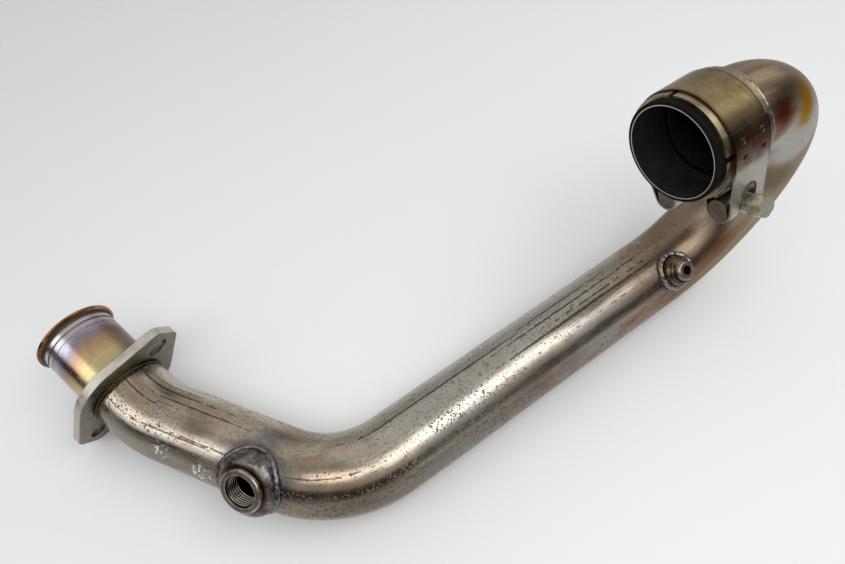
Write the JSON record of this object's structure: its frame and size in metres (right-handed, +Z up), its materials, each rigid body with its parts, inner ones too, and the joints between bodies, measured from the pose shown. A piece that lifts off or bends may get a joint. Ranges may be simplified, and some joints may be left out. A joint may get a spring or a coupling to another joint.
{
  "type": "exhaust header pipe",
  "caption": "Bent steel header pipe for a motorcycle engine, with a loose port flange, a threaded sensor boss and a band clamp on its return end.",
  "frame": {"origin": "centre of the port lip's front face, where the pipe seats in the cylinder head", "axes": "+X along the long leg towards the return bend, +Z up as the pipe lies on a floor, +Y towards the port mouth's side"},
  "size_m": [0.4296, 0.2342, 0.1734],
  "materials": {
    "tube_steel": "heat-tinted tan brown with pitting",
    "spigot_steel": "polished by the flange, straw to blue heat tint",
    "weld_steel": "rippled weld with grey and brown oxide",
    "flange_steel": "satin, lightly oxidised",
    "boss_steel": "turned, brown oxide",
    "sleeve_steel": "gold heat tint",
    "graphite": "matt black graphite",
    "lining_steel": "thin bright foil",
    "band_steel": "gold and grey heat tint with rust stains",
    "zinc_steel": "worn zinc plate"
  },
  "bodies": {
    "pipe": {"header_tube_port_bend": "tube_steel", "header_tube_short_leg": "tube_steel", "header_tube_drilled_half": "tube_steel", "header_tube_plain_half": "tube_steel", "header_tube_main_bend": "tube_steel", "header_tube_long_leg": "tube_steel", "header_tube_lower_return": "tube_steel", "header_tube_upper_return": "tube_steel", "port_spigot": "spigot_steel", "spigot_weld": "weld_steel", "sensor_boss": "boss_steel", "sensor_boss_weld": "weld_steel", "test_boss": "boss_steel", "test_boss_weld": "weld_steel", "test_washer": "boss_steel", "test_plug": "boss_steel", "gasket_lining": "lining_steel", "outlet_gasket": "graphite", "outlet_sleeve": "sleeve_steel", "outlet_weld": "weld_steel", "clamp_band": "band_steel", "clamp_bridge": "band_steel", "barrel_nut": "zinc_steel", "barrel_seat": "zinc_steel", "bolt_spacer": "zinc_steel", "clamp_bolt": "zinc_steel"},
    "flange": {"port_flange": "flange_steel"}
  },
  "joints": [
    {"name": "flange_slide", "type": "slide", "parent": "pipe", "child": "flange", "axis": [-0.2384, 0.9287, 0.284], "range_m": [0, 0.0395]}
  ]
}
